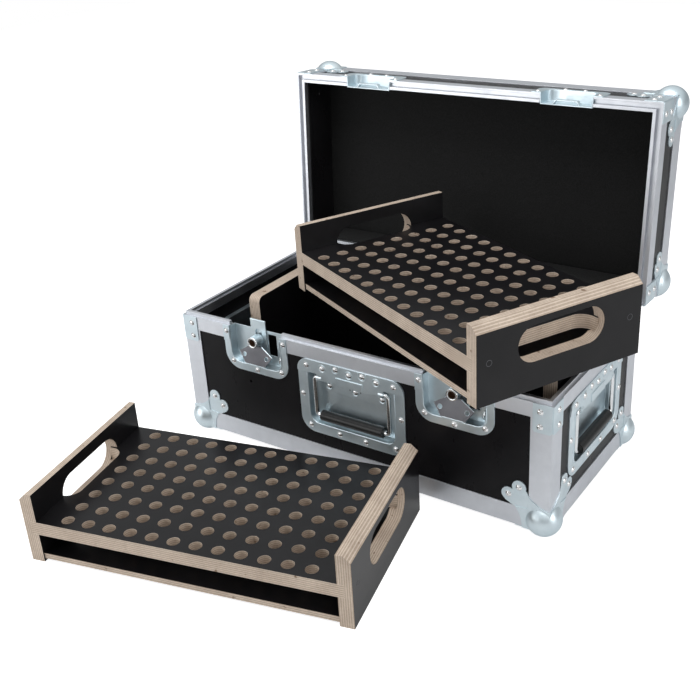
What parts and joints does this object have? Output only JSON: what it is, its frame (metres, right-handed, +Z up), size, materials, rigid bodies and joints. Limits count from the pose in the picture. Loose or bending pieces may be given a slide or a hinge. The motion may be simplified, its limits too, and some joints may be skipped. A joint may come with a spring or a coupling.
{
  "type": "flight case with drilled trays",
  "caption": "Flight case with a hinged lid, recessed latches and spring handles, one drilled tray across its rim and one in front.",
  "frame": {"origin": "centre of the floor panel's underside", "axes": "+X to the right along the case front, -Y is the front, +Z up"},
  "size_m": [0.6405, 0.7495, 0.474],
  "materials": {
    "panel": "phenolic film on plywood",
    "profile": "anodised",
    "zinc": "zinc plated",
    "steel": "dark satin",
    "ply": "film faced birch plywood with bare edges",
    "rubber": "matte",
    "foam": "foam lining"
  },
  "bodies": {
    "case": {"base_floor_panel": "panel", "base_front_panel": "panel", "base_back_panel": "panel", "base_left_panel": "panel", "base_right_panel": "panel", "base_bottom_profile": "profile", "base_corner_profiles": "profile", "base_rim_profile": "profile", "base_ball_corners": "zinc", "base_rim_braces": "zinc", "handle_front_dish": "zinc", "handle_front_cover": "zinc", "handle_right_dish": "zinc", "handle_right_cover": "zinc", "handle_left_dish": "zinc", "handle_left_cover": "zinc", "latch_left_dish": "zinc", "latch_right_dish": "zinc", "hinge_base_leaves": "zinc", "hinge_pins": "zinc", "guide_left": "ply", "guide_right": "ply"},
    "lid": {"lid_top_panel": "panel", "lid_front_panel": "panel", "lid_back_panel": "panel", "lid_left_panel": "panel", "lid_right_panel": "panel", "lid_side_boards": "panel", "lid_top_profile": "profile", "lid_corner_profiles": "profile", "lid_rim_profile": "profile", "lid_ball_corners": "zinc", "lid_rim_braces": "zinc", "keeper_left": "zinc", "keeper_right": "zinc", "hinge_lid_leaves": "zinc", "lid_foam": "foam"},
    "handle_front": {"handle_front_bail": "zinc", "handle_front_grip": "rubber"},
    "handle_right": {"handle_right_bail": "zinc", "handle_right_grip": "rubber"},
    "handle_left": {"handle_left_bail": "zinc", "handle_left_grip": "rubber"},
    "rotor_left": {"latch_left_rotor": "zinc"},
    "hook_left": {"latch_left_hook": "zinc"},
    "wing_left": {"latch_left_wing": "steel"},
    "rotor_right": {"latch_right_rotor": "zinc"},
    "hook_right": {"latch_right_hook": "zinc"},
    "wing_right": {"latch_right_wing": "steel"},
    "rim_tray": {"rim_tray_deck": "ply", "rim_tray_bottom": "ply", "rim_tray_end_left": "ply", "rim_tray_end_right": "ply"},
    "floor_tray": {"floor_tray_deck": "ply", "floor_tray_bottom": "ply", "floor_tray_end_left": "ply", "floor_tray_end_right": "ply"}
  },
  "joints": [
    {"name": "lid_hinge", "type": "hinge", "parent": "case", "child": "lid", "pos_m": [0, 0.1515, 0.1705], "axis": [1, 0, 0], "range_deg": [0, 93.4]},
    {"name": "handle_front_swing", "type": "hinge", "parent": "case", "child": "handle_front", "pos_m": [0, -0.1325, 0.131], "axis": [-1, 0, 0], "range_deg": [0, 90], "stiffness_Nm_per_rad": 0.06, "springref_deg": -28.65},
    {"name": "handle_right_swing", "type": "hinge", "parent": "case", "child": "handle_right", "pos_m": [0.2825, 0, 0.131], "axis": [0, -1, 0], "range_deg": [0, 90], "stiffness_Nm_per_rad": 0.06, "springref_deg": -28.65},
    {"name": "handle_left_swing", "type": "hinge", "parent": "case", "child": "handle_left", "pos_m": [-0.2825, 0, 0.131], "axis": [0, 1, 0], "range_deg": [0, 90], "stiffness_Nm_per_rad": 0.06, "springref_deg": -28.65},
    {"name": "latch_left_turn", "type": "hinge", "parent": "case", "child": "rotor_left", "pos_m": [-0.1555, -0.135, 0.1615], "axis": [0, -1, 0], "range_deg": [0, 180]},
    {"name": "latch_left_draw", "type": "slide", "parent": "case", "child": "hook_left", "axis": [0, 0, -1], "range_m": [0, 0.01]},
    {"name": "latch_left_wing_fold", "type": "hinge", "parent": "rotor_left", "child": "wing_left", "pos_m": [-0.1555, -0.1325, 0.15], "axis": [-1, 0, 0], "range_deg": [0, 76]},
    {"name": "latch_right_turn", "type": "hinge", "parent": "case", "child": "rotor_right", "pos_m": [0.1555, -0.135, 0.1615], "axis": [0, -1, 0], "range_deg": [0, 180]},
    {"name": "latch_right_draw", "type": "slide", "parent": "case", "child": "hook_right", "axis": [0, 0, -1], "range_m": [0, 0.01]},
    {"name": "latch_right_wing_fold", "type": "hinge", "parent": "rotor_right", "child": "wing_right", "pos_m": [0.1555, -0.1325, 0.15], "axis": [-1, 0, 0], "range_deg": [0, 76]},
    {"name": "rim_tray_clear", "type": "slide", "parent": "case", "child": "rim_tray", "axis": [0, -1, 0], "range_m": [0, 0.492]},
    {"name": "floor_tray_lift", "type": "slide", "parent": "case", "child": "floor_tray", "axis": [0, 0, 1], "range_m": [0, 0.07]}
  ],
  "couplings": [
    {"joint": "rim_tray_clear", "follows": "lid_hinge", "m_per_rad": 0.3},
    {"joint": "latch_left_draw", "follows": "latch_left_turn", "m_per_rad": 0.00318},
    {"joint": "latch_right_draw", "follows": "latch_right_turn", "m_per_rad": 0.00318}
  ]
}
